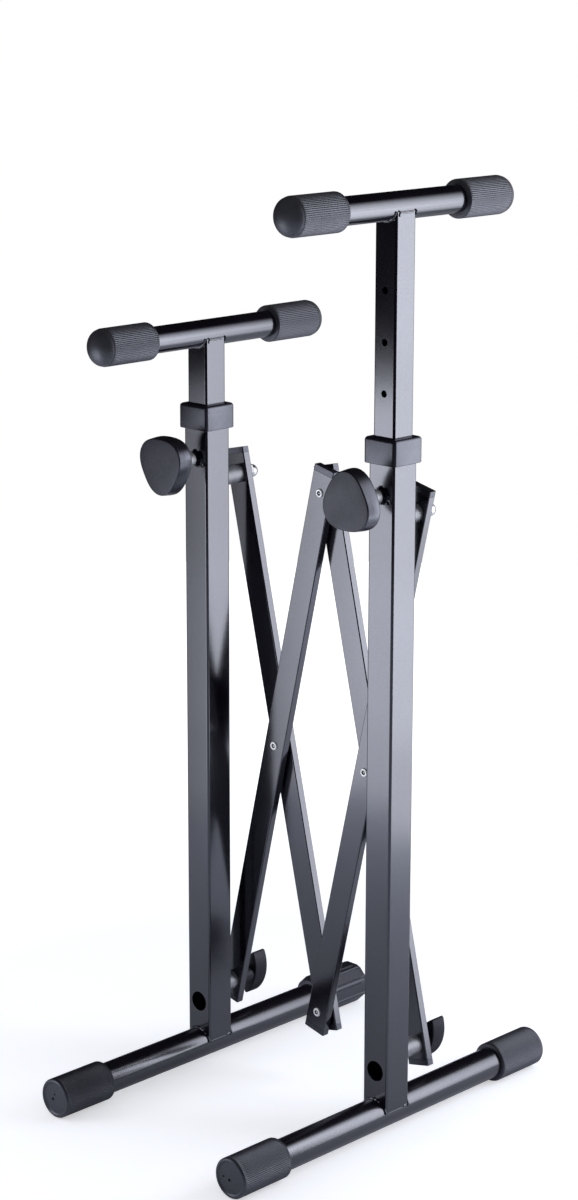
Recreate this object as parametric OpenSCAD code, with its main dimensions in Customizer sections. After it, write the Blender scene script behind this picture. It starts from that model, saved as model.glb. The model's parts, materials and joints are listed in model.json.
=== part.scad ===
// Folding keyboard stand: two T-shaped supports joined by a sliding scissor lattice.
// The origin is on the floor, at the centre of the footprint. Z is up, and the feet run along Y.

/* [Stand] */
// Distance between the axes of the two posts, as it stands
post_span = 236; // [150:1:600]
// Height above the floor of the lower end of the posts' slots
slot_low_z = 62; // [58:1:90]
// Which index hole of the left inner tube lines up with its clamp screw
left_notch = 1; // [0:1:7]
// Which index hole of the right inner tube lines up with its clamp screw
right_notch = 4; // [0:1:7]

/* [Posts] */
// Width of the square post tube
post_w = 30; // [28:1:40]
// Wall of the square post tube
post_wall = 1.5; // [1:0.1:2]
// Radius of the post tube's upright edges
post_edge = 2; // [1:0.25:3]
// How far below the foot tube's top the post's side walls reach
cope_drop = 11; // [6:0.5:12]
// Diameter of the access hole in the front of each post
access_d = 19.6; // [12:0.2:22]
// Play between the slide bolt and the post's slot, over the whole width
slot_play = 0.4; // [0.2:0.1:1]

/* [Feet] */
// Diameter of the foot tubes
foot_d = 30; // [25:1:40]
// Wall of the foot tubes
foot_wall = 2; // [1:0.1:3]
// Reach of each foot in front of the post's axis, cap included
foot_front = 203; // [150:1:260]
// Reach of each foot behind the post's axis, cap included
foot_rear = 209; // [150:1:260]
// Diameter of the round rubber foot caps
foot_cap_d = 38; // [36:0.5:50]
// Length of the round rubber foot caps
foot_cap_len = 60; // [40:1:90]
// Thickness of a foot cap's closed end
foot_cap_end = 6; // [4:0.5:10]
// Radius of the rounded edge at a foot cap's closed end
foot_cap_edge = 3; // [1:0.5:4]
// Depth of the shallow dish in a foot cap's end
foot_cap_dish = 1; // [0.5:0.1:2]
// Length of the levelling cap
level_len = 68; // [50:1:90]
// How far the levelling cap's centre lies above its bore
level_offset = 1; // [0.5:0.1:2]
// Width of the bevel round both ends of the levelling cap
level_bevel = 4; // [2:0.5:6]

/* [Inner tubes and bars] */
// Width of the square inner tube
inner_w = 25; // [20:1:26]
// Wall of the inner tube
inner_wall = 1.5; // [1:0.1:2]
// Radius of the inner tube's upright edges
inner_edge = 2; // [1:0.25:3]
// Length of the inner tube below the bar's axis
inner_len = 422; // [400:1:440]
// How far above the bar's lowest point the inner tube's side walls reach
bar_cope = 8.5; // [5:0.5:10]
// Distance from the bar's axis down to the first index hole
hole_first = 72; // [60:1:80]
// Distance between index holes
hole_pitch = 45; // [40:1:46]
// Number of index holes
hole_count = 8; // [5:1:8]
// Diameter of the index holes
hole_d = 6.5; // [5:0.1:8]
// Diameter of the top bars
bar_d = 25; // [20:1:26]
// Wall of the top bars
bar_wall = 1.5; // [1:0.1:2]
// Reach of each bar in front of the post's axis, without the cap's dome
bar_front = 129; // [100:1:200]
// Reach of each bar behind the post's axis, without the cap's dome
bar_rear = 134; // [100:1:200]
// Diameter of the bar caps
bar_cap_d = 35; // [30:0.5:45]
// Length of the straight, ribbed part of a bar cap
bar_cap_len = 55; // [40:1:80]
// Height of a bar cap's dome
bar_dome_h = 11; // [6:0.5:14]

/* [Collars and guides] */
// Width of the plastic collars
collar_w = 37; // [35:0.5:46]
// Height of the collars
collar_h = 23.5; // [15:0.5:40]
// Thickness of the collar's lip over the post's top edge
collar_lip = 5.5; // [2:0.5:6]
// Radius of the collar's upright edges
collar_edge = 3; // [1:0.5:4]
// Height of the bevel round the collar's top
collar_bevel = 3; // [1:0.5:4]
// Gap between the collar's lip and the inner tube on each side
guide_gap = 0.3; // [0.1:0.1:0.5]
// Thickness of the guide plug's flange under the inner tube
plug_flange = 4; // [2:0.5:8]
// Depth of the guide plug inside the inner tube
plug_depth = 20; // [10:1:30]

/* [Clamp screws] */
// Distance from the post's top edge down to the clamp screw
clamp_drop = 46; // [35:1:55]
// Diameter of the clamp screw
screw_d = 8; // [6:0.5:10]
// Gap between the screw's tip and the inner tube
screw_tip_gap = 0.3; // [0.3:0.1:0.5]
// Width across the flats of the weld nut
nut_flats = 14; // [13:0.5:18]
// Height of the weld nut
nut_h = 3.5; // [3:0.5:8]
// Mean radius of the three-lobed knobs
knob_r = 27.6; // [20:0.2:32]
// How far the lobes stand out of the mean radius
knob_lobe = 2.2; // [0.5:0.1:4]
// Distance from the post's face to the front of the knob
knob_reach = 46.2; // [42:0.2:60]
// Thickness of the knob's rim
knob_rim = 17; // [10:0.5:20]
// Gap between the weld nut and the thin end of the knob's hub
knob_hub_gap = 1; // [1:0.5:8]
// Diameter of the thin end of the knob's hub
knob_hub_d = 13.5; // [12:0.5:20]

/* [Lattice] */
// Distance from the post's top edge down to the upper pivots
pivot_drop = 68; // [60:1:100]
// Distance between the end pivots of an arm
arm_pitch = 525.4; // [480:0.2:560]
// Width of an arm
arm_w = 25; // [20:1:30]
// Thickness of an arm
arm_t = 8; // [6:0.5:12]
// Wall of an arm
arm_wall = 1.2; // [0.8:0.1:2]
// Radius of an arm's long edges
arm_edge = 1; // [0.5:0.1:2]
// Length of an arm beyond its upper pivot, plug included
arm_over_top = 24.5; // [18:0.5:30]
// Length of an arm beyond its lower pivot, plug included
arm_over_bottom = 20.5; // [18:0.5:24]
// Thickness of the visible head of an arm's end plugs
end_plug_head = 5.5; // [3:0.5:7]
// Depth of an end plug inside the arm
end_plug_depth = 6; // [3:0.5:7]
// Distance from a post's rear face to the front layer of arms
front_layer = 15; // [12:0.5:20]
// Gap between the two layers of arms
layer_gap = 2; // [1:0.1:4]
// Diameter of the rivets' shanks
rivet_d = 6; // [4:0.5:8]
// Diameter of the rivets' heads
rivet_head_d = 8.6; // [8:0.2:14]
// Height of the rivets' heads
rivet_head_h = 1.2; // [0.8:0.1:2]
// Diameter of the dimple in a rivet's head
rivet_dimple_d = 3.4; // [2:0.2:5]
// Diameter of the washers between the arms
washer_d = 16; // [12:0.5:20]
// Diameter of the stubs and spacers that carry the arms
stub_d = 18; // [14:0.5:22]
// Lattice angle from upright when the stand is folded
fold_angle = 6.5; // [5:0.5:8]
// Lattice angle from upright when the stand is widest
open_angle = 46; // [30:1:50]

/* [Slide bolts] */
// Diameter of the slide bolts and of the upper pivot bolts
bolt_d = 8; // [6:0.5:10]
// Diameter of the slide bolt's head inside the post
bolt_head_d = 16; // [14:0.5:16.5]
// Height of the slide bolt's head
bolt_head_h = 4; // [3:0.5:6]
// Width across the flats of the cap nuts on the upper pivot bolts
cap_nut_flats = 13; // [13:0.5:16]
// Diameter of the cap nuts' domes
cap_nut_dome_d = 12.5; // [11:0.5:12.5]
// Height of the cap nuts' hexagons
cap_nut_hex_h = 6.5; // [4:0.5:8]
// Height of the cap nuts, domes included
cap_nut_h = 15; // [14:0.5:18]
// Thickness of the washers under the cap nuts
cap_nut_washer_h = 1.6; // [1:0.2:3]
// Length of a thumb grip
wing_len = 46; // [40:1:60]
// Width of a thumb grip at its middle
wing_w = 18; // [16:1:30]
// Width of a thumb grip at its ends
wing_end_w = 2; // [2:0.5:10]
// Thickness of a thumb grip
wing_t = 16; // [8:0.5:20]
// Distance from the rear layer of arms back to the thumb grips' plates
wing_hub_h = 6; // [4:0.5:12]
// Diameter of the thumb grips' hubs
wing_hub_d = 15.5; // [13:0.5:20]
// Tilt of the left thumb grip from upright, as it is tightened
wing_tilt_left = 13; // [-45:1:45]
// Tilt of the right thumb grip from upright, as it is tightened
wing_tilt_right = 20; // [-45:1:45]

/* [Fits] */
// Radial clearance between a pin and the hole that turns on it
running_gap = 0.1; // [0.05:0.01:0.1]
// Radial clearance of a cap or plug pushed on or into a tube
push_gap = 0.05; // [0.05:0.01:0.2]
// Gap between flat faces that slide or turn on each other
face_gap = 0.1; // [0.05:0.05:0.3]

/* [Hidden] */
$fn = 48;

steel_black = [0.13, 0.14, 0.16];
rubber_black = [0.16, 0.165, 0.19];
plastic_black = [0.12, 0.12, 0.135];
zinc = [0.72, 0.73, 0.76];
eps = 0.01;
bar_end_gap = 1;

// The lattice: each arm crosses its partner half way and reaches across half the span.
// The posts are as tall as the folded lattice needs.
lattice_angle = asin(post_span / 2 / arm_pitch);
pivot_z = slot_low_z + arm_pitch * cos(fold_angle);
slide_z = pivot_z - arm_pitch * cos(lattice_angle);
slot_high_z = pivot_z - arm_pitch * cos(open_angle);
crossing_z = (pivot_z + slide_z) / 2;
middle_pin = arm_pitch / 2;
post_top_z = pivot_z + pivot_drop;

// Places that the other pieces share
left_x = -post_span / 2;
right_x = post_span / 2;
post_y = (foot_front - foot_rear) / 2;
foot_z = foot_cap_d / 2;
level_flats = 2 * (foot_z + level_offset);
post_bottom_z = foot_z + foot_d / 2 - cope_drop;
clamp_z = post_top_z - clamp_drop;
post_front_y = post_y - post_w / 2;
post_rear_y = post_y + post_w / 2;
post_inside = post_w - 2 * post_wall;
left_bar_z = clamp_z + hole_first + left_notch * hole_pitch;
right_bar_z = clamp_z + hole_first + right_notch * hole_pitch;
slot_w = bolt_d + slot_play;
front_layer_y = post_rear_y + front_layer;
back_layer_y = front_layer_y + arm_t + layer_gap;
wing_y = back_layer_y + arm_t + face_gap + wing_hub_h;

// Points of a three-lobed outline
function lobed(scale, y, turn, steps = 60) = [
    for (i = [0 : steps - 1])
        let (a = 360 * i / steps, r = (knob_r + knob_lobe * cos(3 * (a - turn))) * scale)
            [r * cos(a), y, r * sin(a)]
];

// Puts a shape that stands on Z along Y instead, with its foot at the given place
module along_y(x, y, z) {
    translate([x, y, z])
        rotate([-90, 0, 0])
            children();
}

// Turns a shape that faces the front so that it faces the rear of the given place
module facing(rear) {
    rotate([0, 0, rear ? 180 : 0])
        children();
}

// A bar of w by d that stands on Z, with rounded long edges
module rounded_bar(w, d, edge, low, high) {
    translate([-w / 2, edge - d / 2, low])
        cube([w, d - 2 * edge, high - low]);
    translate([edge - w / 2, -d / 2, low])
        cube([w - 2 * edge, d, high - low]);
    for (sx = [-1, 1], sy = [-1, 1])
        translate([sx * (w / 2 - edge), sy * (d / 2 - edge), low])
            cylinder(r = edge, h = high - low);
}

// A tube of w by d that stands on Z, rounded outside and square inside
module box_tube(w, d, wall, edge, low, high) {
    difference() {
        rounded_bar(w, d, edge, low, high);
        translate([wall - w / 2, wall - d / 2, low - 1])
            cube([w - 2 * wall, d - 2 * wall, high - low + 2]);
    }
}

// A round tube that runs along Y
module round_tube(d, wall, from_y, to_y) {
    along_y(0, from_y, 0)
        difference() {
            cylinder(d = d, h = to_y - from_y);
            translate([0, 0, -1])
                cylinder(d = d - 2 * wall, h = to_y - from_y + 2);
        }
}

// Foot tube, which stops at the closed ends of its two caps
module foot_tube(x) {
    color(steel_black)
        translate([x, post_y, foot_z])
            round_tube(foot_d, foot_wall, foot_cap_end - foot_front, foot_rear - foot_cap_end);
}

// Round foot cap with a dished end, drawn with its closed end at the origin
module foot_cap_shape() {
    r = foot_cap_d / 2;
    bore_r = foot_d / 2 + push_gap;
    slope = 1;
    lip = 1.5;
    dish_r = r - foot_cap_edge - slope;
    rotate([-90, 0, 0])
        rotate_extrude()
            polygon(concat(
                [[0, foot_cap_dish], [dish_r, foot_cap_dish], [dish_r + slope, 0]],
                [for (a = [-90 : 15 : 0])
                    [r - foot_cap_edge + foot_cap_edge * cos(a), foot_cap_edge + foot_cap_edge * sin(a)]],
                [[r, foot_cap_len - lip], [r - lip, foot_cap_len]],
                [[bore_r, foot_cap_len], [bore_r, foot_cap_end], [0, foot_cap_end]]
            ));
}

module foot_cap(x, rear) {
    color(rubber_black)
        translate([x, post_y + (rear ? foot_rear : -foot_front), foot_z])
            facing(rear)
                foot_cap_shape();
}

// Eight-sided cap with its bore off centre, so that turning it changes the foot's height
module level_cap() {
    octagon_d = level_flats / cos(22.5);
    end_d = octagon_d - 2 * level_bevel;
    color(rubber_black)
        difference() {
            along_y(left_x, post_y + foot_rear - level_len, foot_z + level_offset)
                rotate([0, 0, 22.5]) {
                    cylinder(d1 = end_d, d2 = octagon_d, h = level_bevel, $fn = 8);
                    translate([0, 0, level_bevel - eps])
                        cylinder(d = octagon_d, h = level_len - 2 * level_bevel + 2 * eps, $fn = 8);
                    translate([0, 0, level_len - level_bevel])
                        cylinder(d1 = octagon_d, d2 = end_d, h = level_bevel, $fn = 8);
                }
            along_y(left_x, post_y + foot_rear - level_len - 1, foot_z)
                cylinder(r = foot_d / 2 + running_gap, h = level_len - foot_cap_end + 1);
        }
}

// Post tube, coped over the foot tube, with the slot for the slide bolt in its rear face
module post(x) {
    color(steel_black)
        difference() {
            translate([x, post_y, 0])
                box_tube(post_w, post_w, post_wall, post_edge, post_bottom_z, post_top_z);
            along_y(x, post_y - foot_front, foot_z)
                cylinder(d = foot_d + 2 * push_gap, h = foot_front + foot_rear);
            along_y(x, post_front_y - 1, slot_low_z)
                cylinder(d = access_d, h = post_wall + 2);
            along_y(x, post_front_y - 1, clamp_z)
                cylinder(d = screw_d + 1, h = post_wall + 2);
            post_slot(x);
        }
}

module post_slot(x) {
    for (z = [slot_low_z, slot_high_z])
        along_y(x, post_rear_y - post_wall - 1, z)
            cylinder(d = slot_w, h = post_wall + 2);
    translate([x - slot_w / 2, post_rear_y - post_wall - 1, slot_low_z])
        cube([slot_w, post_wall + 2, slot_high_z - slot_low_z]);
}

// Plastic collar that caps the post and guides the inner tube
module collar(x) {
    bottom = post_top_z + collar_lip - collar_h;
    recess = post_w + 2 * push_gap;
    opening = inner_w + 2 * guide_gap;
    color(plastic_black)
        translate([x, post_y, bottom])
            difference() {
                hull() {
                    collar_slab(collar_w, 0, collar_h - collar_bevel);
                    collar_slab(collar_w - 2 * collar_bevel, 0, collar_h);
                }
                translate([-recess / 2, -recess / 2, -1])
                    cube([recess, recess, collar_h - collar_lip + 1]);
                translate([-opening / 2, -opening / 2, -1])
                    cube([opening, opening, collar_h + 2]);
            }
}

module collar_slab(w, low, high) {
    corner = w / 2 - collar_edge;
    for (sx = [-1, 1], sy = [-1, 1])
        translate([sx * corner, sy * corner, low])
            cylinder(r = collar_edge, h = high - low, $fn = 24);
}

// Hexagonal nut welded over the clamp hole
module weld_nut(x) {
    color(steel_black)
        along_y(x, post_front_y - nut_h, clamp_z)
            difference() {
                cylinder(d = nut_flats / cos(30), h = nut_h, $fn = 6);
                translate([0, 0, -1])
                    cylinder(r = screw_d / 2 + running_gap, h = nut_h + 2);
            }
}

// Round boss welded to the rear of the post, which carries the upper end of an arm
module arm_stub(x, layer_y) {
    color(steel_black)
        along_y(x, post_rear_y, pivot_z)
            difference() {
                cylinder(d = stub_d, h = layer_y - post_rear_y - face_gap);
                translate([0, 0, post_wall])
                    cylinder(r = bolt_d / 2 + push_gap, h = layer_y - post_rear_y);
            }
}

// Bolt that holds the upper end of an arm on its stub, with a washer and a cap nut behind the arm
module pivot_bolt(x, layer_y) {
    start_y = post_rear_y + post_wall + 1;
    seat = layer_y + arm_t + face_gap - start_y;
    dome_r = cap_nut_dome_d / 2;
    color(zinc)
        along_y(x, start_y, pivot_z) {
            cylinder(d = bolt_d, h = seat + eps);
            translate([0, 0, seat])
                cylinder(d = washer_d, h = cap_nut_washer_h + eps);
            translate([0, 0, seat + cap_nut_washer_h]) {
                cylinder(d = cap_nut_flats / cos(30), h = cap_nut_hex_h, $fn = 6);
                rotate_extrude()
                    polygon(concat(
                        [[0, 0], [dome_r, 0]],
                        [for (a = [0 : 10 : 90]) [dome_r * cos(a), cap_nut_h - dome_r + dome_r * sin(a)]]
                    ));
            }
        }
}

// Inner tube with its row of index holes, coped under the top bar
module inner_tube(x, bar_z) {
    color(steel_black)
        difference() {
            translate([x, post_y, 0])
                box_tube(inner_w, inner_w, inner_wall, inner_edge, bar_z - inner_len, bar_z - bar_d / 2 + bar_cope);
            along_y(x, post_y - inner_w, bar_z)
                cylinder(d = bar_d + 2 * push_gap, h = 2 * inner_w);
            for (i = [0 : hole_count - 1])
                along_y(x, post_y - inner_w / 2 - 1, bar_z - hole_first - i * hole_pitch)
                    cylinder(d = hole_d, h = inner_wall + 2);
        }
}

// Plastic plug that closes the inner tube's lower end and guides it in the post
module guide_plug(x, bar_z) {
    flange = post_inside - 2 * guide_gap;
    insert = inner_w - 2 * inner_wall - 2 * push_gap;
    low = bar_z - inner_len;
    color(plastic_black)
        translate([x, post_y, low]) {
            translate([-flange / 2, -flange / 2, -plug_flange])
                cube([flange, flange, plug_flange]);
            translate([-insert / 2, -insert / 2, -eps])
                cube([insert, insert, plug_depth]);
        }
}

// Round bar that carries the load
module top_bar(x, bar_z) {
    color(steel_black)
        translate([x, post_y, bar_z])
            round_tube(bar_d, bar_wall, bar_end_gap - bar_front, bar_rear - bar_end_gap);
}

// Bar cap with a domed end, drawn with the start of its dome at the origin
module bar_cap_shape() {
    r = bar_cap_d / 2;
    bore_r = bar_d / 2 + push_gap;
    lip = 1.5;
    rotate([-90, 0, 0])
        rotate_extrude()
            polygon(concat(
                [for (a = [0 : 10 : 90]) [r * sin(a), -bar_dome_h * cos(a)]],
                [[r, bar_cap_len - lip], [r - lip, bar_cap_len]],
                [[bore_r, bar_cap_len], [bore_r, bar_end_gap], [0, bar_end_gap]]
            ));
}

module bar_cap(x, bar_z, rear) {
    color(rubber_black)
        translate([x, post_y + (rear ? bar_rear : -bar_front), bar_z])
            facing(rear)
                bar_cap_shape();
}

// Clamp screw, from just short of the inner tube out into the knob
module clamp_screw(x) {
    tip_y = post_y - inner_w / 2 - screw_tip_gap;
    head_y = post_front_y - knob_reach + knob_rim / 2;
    chamfer = 1;
    color(zinc)
        along_y(x, head_y, clamp_z) {
            cylinder(d = screw_d, h = tip_y - head_y - chamfer + eps);
            translate([0, 0, tip_y - head_y - chamfer])
                cylinder(d1 = screw_d, d2 = screw_d - 2 * chamfer, h = chamfer);
        }
}

// Three-lobed knob: a flat face with a rounded edge, a straight rim, and a back that tapers to a hub.
// Each section is its place from the post's face and its share of the knob's full outline.
module clamp_knob(x, turn) {
    face_y = -knob_reach;
    back_y = knob_rim - knob_reach;
    hub = knob_hub_d / 2 / knob_r;
    hub_y = -nut_h - knob_hub_gap;
    sections = [
        [face_y, 0.7], [face_y + 0.5, 0.9], [face_y + 1, 0.955], [face_y + 2, 0.985],
        [face_y + 4, 1], [back_y - 3, 1], [back_y - 1, 0.97], [back_y, 0.92],
        [back_y + 2, 0.76], [back_y + 6, 0.52], [back_y + 12, 0.34], [hub_y - 3, hub + 0.03], [hub_y, hub]
    ];
    color(plastic_black)
        translate([x, post_front_y, clamp_z])
            difference() {
                skin([for (s = sections) lobed(s[1], s[0], turn)]);
                along_y(0, back_y - knob_rim / 2 - face_gap, 0)
                    cylinder(r = screw_d / 2 + running_gap, h = knob_reach);
            }
}

// Closed solid through rings of equally many points
module skin(rings) {
    n = len(rings[0]);
    last = (len(rings) - 1) * n;
    sides = [
        for (k = [0 : len(rings) - 2], i = [0 : n - 1])
            let (j = (i + 1) % n, a = k * n)
                each [[a + i, a + j, a + n + i], [a + j, a + n + j, a + n + i]]
    ];
    caps = [[for (i = [n - 1 : -1 : 0]) i], [for (i = [0 : n - 1]) last + i]];
    polyhedron(points = [for (ring = rings) each ring], faces = concat(sides, caps));
}

// Places a shape on an arm: Z runs from the lower pivot to the upper one
module on_arm(bottom_x, lean, layer_y) {
    translate([bottom_x, layer_y, slide_z])
        rotate([0, lean * lattice_angle, 0])
            children();
}

// Flat tube with a hole for each pivot
module arm(bottom_x, lean, layer_y, bottom_hole_d, top_hole_d) {
    low = end_plug_head - arm_over_bottom;
    high = arm_pitch + arm_over_top - end_plug_head;
    color(steel_black)
        on_arm(bottom_x, lean, layer_y)
            difference() {
                translate([0, arm_t / 2, 0])
                    box_tube(arm_w, arm_t, arm_wall, arm_edge, low, high);
                arm_hole(0, bottom_hole_d);
                arm_hole(middle_pin, rivet_d);
                arm_hole(arm_pitch, top_hole_d);
            }
}

module arm_hole(z, d) {
    along_y(0, -1, z)
        cylinder(r = d / 2 + running_gap, h = arm_t + 2);
}

// The two plastic plugs that close an arm's ends
module end_plugs(bottom_x, lean, layer_y) {
    insert_w = arm_w - 2 * arm_wall - 2 * push_gap;
    insert_t = arm_t - 2 * arm_wall - 2 * push_gap;
    color(plastic_black)
        on_arm(bottom_x, lean, layer_y)
            for (end = [0, 1])
                translate([0, arm_t / 2, end ? arm_pitch + arm_over_top : -arm_over_bottom])
                    mirror([0, 0, end]) {
                        rounded_bar(arm_w, arm_t, arm_edge, 0, end_plug_head);
                        translate([-insert_w / 2, -insert_t / 2, end_plug_head - eps])
                            cube([insert_w, insert_t, end_plug_depth]);
                    }
}

// A rivet through both layers of arms, with a dimpled head on each side
module rivet(x, z) {
    low = front_layer_y - face_gap;
    high = back_layer_y + arm_t + face_gap;
    color(zinc)
        difference() {
            union() {
                along_y(x, low - rivet_head_h, z)
                    cylinder(d = rivet_head_d, h = rivet_head_h);
                along_y(x, low - eps, z)
                    cylinder(d = rivet_d, h = high - low + 2 * eps);
                along_y(x, high, z)
                    cylinder(d = rivet_head_d, h = rivet_head_h);
            }
            for (dimple_y = [low - rivet_head_h - 1, high - rivet_head_h / 2])
                along_y(x, dimple_y, z)
                    cylinder(d = rivet_dimple_d, h = rivet_head_h * 1.5 + 1);
        }
}

// A washer between the two layers of arms
module arm_washer(x, z) {
    color(zinc)
        along_y(x, front_layer_y + arm_t + face_gap, z)
            difference() {
                cylinder(d = washer_d, h = layer_gap - 2 * face_gap);
                translate([0, 0, -1])
                    cylinder(r = rivet_d / 2 + push_gap, h = layer_gap + 2);
            }
}

// Slide bolt: a low head inside the post, and a shank that runs in the slot
module slide_bolt(x) {
    inside_y = post_rear_y - post_wall - face_gap;
    end_y = wing_y + wing_t / 2;
    color(zinc) {
        along_y(x, inside_y - bolt_head_h, slide_z)
            cylinder(d1 = bolt_head_d - 4, d2 = bolt_head_d, h = bolt_head_h);
        along_y(x, inside_y - eps, slide_z)
            cylinder(d = bolt_d, h = end_y - inside_y);
    }
}

// Spacer on the slide bolt, between the post and the arm
module spacer(x, layer_y) {
    color(zinc)
        along_y(x, post_rear_y + face_gap, slide_z)
            difference() {
                cylinder(d = stub_d, h = layer_y - post_rear_y - 2 * face_gap);
                translate([0, 0, -1])
                    cylinder(r = bolt_d / 2 + push_gap, h = layer_y - post_rear_y + 2);
            }
}

// Thumb grip that tightens a slide bolt: a round hub up to the arm, and a leaf-shaped plate
module thumb_grip(x, layer_y, tilt) {
    hub_y = layer_y + arm_t + face_gap;
    hub_h = wing_y - hub_y;
    side_bulge = (wing_w - wing_end_w) / 2;
    side_r = (pow(wing_len / 2, 2) + pow(side_bulge, 2)) / (2 * side_bulge);
    color(plastic_black)
        along_y(x, hub_y, slide_z)
            difference() {
                union() {
                    cylinder(d = wing_hub_d, h = hub_h + eps);
                    translate([0, 0, hub_h])
                        rotate([0, 0, tilt])
                            intersection() {
                                for_side(-1, side_r)
                                    cylinder(r = side_r, h = wing_t, $fn = 96);
                                for_side(1, side_r)
                                    cylinder(r = side_r, h = wing_t, $fn = 96);
                                translate([-wing_w, -wing_len / 2, 0])
                                    cube([2 * wing_w, wing_len, wing_t]);
                            }
                }
                translate([0, 0, -1])
                    cylinder(r = bolt_d / 2 + running_gap, h = hub_h + wing_t / 2 + 1 + face_gap);
            }
}

// Shifts one side's arc of a thumb grip to its centre
module for_side(side, side_r) {
    translate([side * (side_r - wing_w / 2), 0, 0])
        children();
}

foot_tube(left_x);  // foot_tube_left
foot_tube(right_x);  // foot_tube_right
foot_cap(left_x, false);  // foot_cap_left_front
foot_cap(right_x, false);  // foot_cap_right_front
foot_cap(right_x, true);  // foot_cap_right_rear
level_cap();
post(left_x);  // post_left
post(right_x);  // post_right
collar(left_x);  // collar_left
collar(right_x);  // collar_right
weld_nut(left_x);  // weld_nut_left
weld_nut(right_x);  // weld_nut_right
arm_stub(left_x, back_layer_y);  // arm_stub_left
arm_stub(right_x, front_layer_y);  // arm_stub_right
pivot_bolt(left_x, back_layer_y);  // pivot_bolt_left
pivot_bolt(right_x, front_layer_y);  // pivot_bolt_right
inner_tube(left_x, left_bar_z);  // inner_tube_left
inner_tube(right_x, right_bar_z);  // inner_tube_right
guide_plug(left_x, left_bar_z);  // guide_plug_left
guide_plug(right_x, right_bar_z);  // guide_plug_right
top_bar(left_x, left_bar_z);  // top_bar_left
top_bar(right_x, right_bar_z);  // top_bar_right
bar_cap(left_x, left_bar_z, false);  // bar_cap_left_front
bar_cap(left_x, left_bar_z, true);  // bar_cap_left_rear
bar_cap(right_x, right_bar_z, false);  // bar_cap_right_front
bar_cap(right_x, right_bar_z, true);  // bar_cap_right_rear
clamp_screw(left_x);  // clamp_screw_left
clamp_screw(right_x);  // clamp_screw_right
clamp_knob(left_x, 30);  // clamp_knob_left
clamp_knob(right_x, 90);  // clamp_knob_right
arm(0, -1, back_layer_y, rivet_d, bolt_d);  // arm_left_back
arm(left_x, 1, front_layer_y, bolt_d, rivet_d);  // arm_left_front
arm(right_x, -1, back_layer_y, bolt_d, rivet_d);  // arm_right_back
arm(0, 1, front_layer_y, rivet_d, bolt_d);  // arm_right_front
end_plugs(0, -1, back_layer_y);  // end_plugs_left_back
end_plugs(left_x, 1, front_layer_y);  // end_plugs_left_front
end_plugs(right_x, -1, back_layer_y);  // end_plugs_right_back
end_plugs(0, 1, front_layer_y);  // end_plugs_right_front
union() { rivet(left_x / 2, crossing_z); rivet(0, pivot_z); }  // rivets_left
union() { rivet(right_x / 2, crossing_z); rivet(0, slide_z); }  // rivets_right
union() { arm_washer(left_x / 2, crossing_z); arm_washer(0, pivot_z); }  // arm_washers_left
union() { arm_washer(right_x / 2, crossing_z); arm_washer(0, slide_z); }  // arm_washers_right
slide_bolt(left_x);  // slide_bolt_left
slide_bolt(right_x);  // slide_bolt_right
spacer(left_x, front_layer_y);  // spacer_left
spacer(right_x, back_layer_y);  // spacer_right
thumb_grip(left_x, front_layer_y, wing_tilt_left);  // thumb_grip_left
thumb_grip(right_x, back_layer_y, wing_tilt_right);  // thumb_grip_right
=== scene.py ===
"""Looks of a folding keyboard stand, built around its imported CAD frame. Lengths are in metres."""

import json
import math

import bmesh
import bpy
from mathutils import Matrix, Vector

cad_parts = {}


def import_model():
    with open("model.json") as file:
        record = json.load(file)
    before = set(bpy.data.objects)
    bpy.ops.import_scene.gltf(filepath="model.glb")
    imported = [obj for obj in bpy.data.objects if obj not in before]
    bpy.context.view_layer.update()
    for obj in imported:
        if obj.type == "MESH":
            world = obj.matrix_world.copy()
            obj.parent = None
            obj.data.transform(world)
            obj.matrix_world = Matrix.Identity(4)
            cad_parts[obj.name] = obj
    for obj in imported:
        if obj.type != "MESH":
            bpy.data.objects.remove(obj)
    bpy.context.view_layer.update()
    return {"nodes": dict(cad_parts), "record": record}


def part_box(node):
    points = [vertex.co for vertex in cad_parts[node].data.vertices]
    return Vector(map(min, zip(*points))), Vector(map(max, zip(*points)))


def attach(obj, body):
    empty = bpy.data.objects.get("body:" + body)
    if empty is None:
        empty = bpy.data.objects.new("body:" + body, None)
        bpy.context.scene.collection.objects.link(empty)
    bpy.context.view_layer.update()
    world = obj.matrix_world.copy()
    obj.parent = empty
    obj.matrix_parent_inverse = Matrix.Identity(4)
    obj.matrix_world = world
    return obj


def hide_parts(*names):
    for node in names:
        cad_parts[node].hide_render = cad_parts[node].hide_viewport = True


MM = 0.001
SUPPORT_BODY = {"left": "root", "right": "right_support"}

# Camera, fitted to the photograph
CAMERA_PLACE = (1.6898, -1.7302, 1.1019)
CAMERA_YAW = math.radians(-44.535)
CAMERA_PITCH = math.radians(14.255)
CAMERA_ROLL = math.radians(0.108)
FOCAL_PIXELS = 2709.0
PHOTO_HEIGHT = 1200
SENSOR = 36.0

# Arms, as the frame has them: their section, and how far past the outer pivots their end plugs start
ARM_W = 25 * MM
ARM_T = 8 * MM
LOW_JOINT = 15 * MM
HIGH_JOINT = 19 * MM

# Ripple of the weld beads, as a share of their radius
RIPPLE = 0.08
SMOOTH_RIPPLE = 0.05

# Ribs of the rubber caps: points for each rib, run-out at the ends, and how round the grooves are
RIB_POINTS = 8
RIB_FADE = 2 * MM
RIB_SHAPE = 0.9

# Range that a noise hardly leaves
NOISE_LOW = 0.3
NOISE_HIGH = 0.7

# Tints of the sheen
COAT_TINT = (0.86, 0.89, 1.0, 1.0)
RUBBER_TINT = (0.80, 0.84, 1.0, 1.0)
PLASTIC_TINT = (0.79, 0.83, 1.0, 1.0)

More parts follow.
